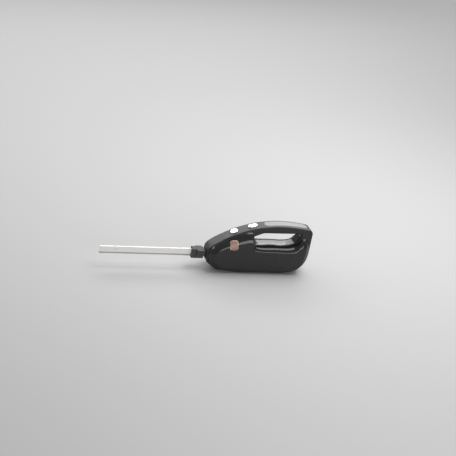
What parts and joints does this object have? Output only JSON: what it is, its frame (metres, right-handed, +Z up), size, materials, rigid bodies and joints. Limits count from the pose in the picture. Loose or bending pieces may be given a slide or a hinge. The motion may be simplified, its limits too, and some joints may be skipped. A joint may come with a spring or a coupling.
{
  "type": "electric carving knife",
  "caption": "Hand-held mains carving knife: looped handle over a motor pod, and a straight saw-edged blade pair that slides to and fro.",
  "frame": {"origin": "middle of the flat base on the plane that splits the two shells", "axes": "+X from the blade tips towards the tail and the cord inlet, +Z up from the base, +Y towards the right-hand shell"},
  "size_m": [0.458, 0.0606, 0.1085],
  "materials": {
    "gloss_shell": "high gloss",
    "satin_band": "satin",
    "silver_inlay": "satin",
    "rose_badge": "metallic satin",
    "chrome_cap": "polished",
    "black_hub": "fine matt grain",
    "blade_steel": "ground along the blade",
    "white_nylon": "moulded",
    "grey_case": "moulded",
    "core_steel": "stacked sheets",
    "bright_steel": "turned",
    "spring_steel": "drawn",
    "sintered_bronze": "sintered",
    "copper": "enamelled wire and bare bars",
    "carbon": "pressed carbon",
    "brass": "stamped",
    "moulded_black": "moulded",
    "gland_rubber": "matt",
    "wire_cover": "smooth"
  },
  "bodies": {
    "housing": {"housing_left": "gloss_shell", "housing_right": "gloss_shell", "housing_screws": "bright_steel", "spine_band": "satin_band", "handle_inlay": "silver_inlay", "badge_plate": "rose_badge", "mouth_bezel": "black_hub", "cord_gland": "gland_rubber", "cord_clamp": "moulded_black", "terminal_block": "moulded_black", "lead_wires": "wire_cover", "switch_body": "moulded_black", "power_spring": "spring_steel", "release_spring": "spring_steel", "guide_block": "white_nylon", "gear_case": "grey_case", "gear_case_cover": "grey_case", "wheel_axle": "bright_steel", "front_bracket": "grey_case", "rear_bracket": "grey_case", "front_bearing": "sintered_bronze", "rear_bearing": "sintered_bronze", "stator_core": "core_steel", "field_coils": "copper", "brush_holders": "brass", "carbon_brushes": "carbon", "brush_springs": "spring_steel", "clamp_screws": "bright_steel", "terminal_screws": "brass"},
    "power_switch_button": {"power_button": "chrome_cap"},
    "blade_release": {"release_button": "chrome_cap", "release_fork": "white_nylon"},
    "left_slide": {"carriage_left": "white_nylon", "latch_spring_left": "spring_steel"},
    "right_slide": {"carriage_right": "white_nylon", "latch_spring_right": "spring_steel"},
    "left_blade": {"blade_left": "blade_steel", "hub_left": "black_hub", "tip_rivet": "blade_steel"},
    "right_blade": {"blade_right": "blade_steel", "hub_right": "black_hub"},
    "armature": {"motor_shaft": "bright_steel", "worm": "bright_steel", "armature_core": "core_steel", "armature_windings": "copper", "commutator": "copper", "cooling_fan": "moulded_black"},
    "wheel": {"worm_wheel": "white_nylon", "drive_cams": "white_nylon"}
  },
  "joints": [
    {"name": "power_press", "type": "slide", "parent": "housing", "child": "power_switch_button", "axis": [0.2574, 0, -0.9663], "range_m": [0, 0.003], "stiffness_N_per_m": 600, "deforming": ["power_spring"]},
    {"name": "release_press", "type": "slide", "parent": "housing", "child": "blade_release", "axis": [0.417, 0, -0.9089], "range_m": [0, 0.003], "stiffness_N_per_m": 900, "deforming": ["release_spring"]},
    {"name": "left_stroke", "type": "slide", "parent": "housing", "child": "left_slide", "axis": [1, 0, 0], "range_m": [-0.0035, 0.0035]},
    {"name": "right_stroke", "type": "slide", "parent": "housing", "child": "right_slide", "axis": [1, 0, 0], "range_m": [-0.0035, 0.0035]},
    {"name": "left_pull", "type": "slide", "parent": "left_slide", "child": "left_blade", "axis": [-1, 0, 0], "range_m": [0, 0.045], "deforming": ["latch_spring_left"]},
    {"name": "right_pull", "type": "slide", "parent": "right_slide", "child": "right_blade", "axis": [-1, 0, 0], "range_m": [0, 0.045], "deforming": ["latch_spring_right"]},
    {"name": "motor_spin", "type": "hinge", "parent": "housing", "child": "armature", "pos_m": [0, 0, 0.023], "axis": [1, 0, 0], "continuous": true},
    {"name": "wheel_spin", "type": "hinge", "parent": "housing", "child": "wheel", "pos_m": [-0.057, 0, 0.041], "axis": [0, 1, 0], "continuous": true}
  ],
  "couplings": [
    {"joint": "right_stroke", "follows": "left_stroke", "ratio": -1},
    {"joint": "right_pull", "follows": "left_pull", "ratio": 1},
    {"joint": "wheel_spin", "follows": "motor_spin", "ratio": 0.035714}
  ]
}
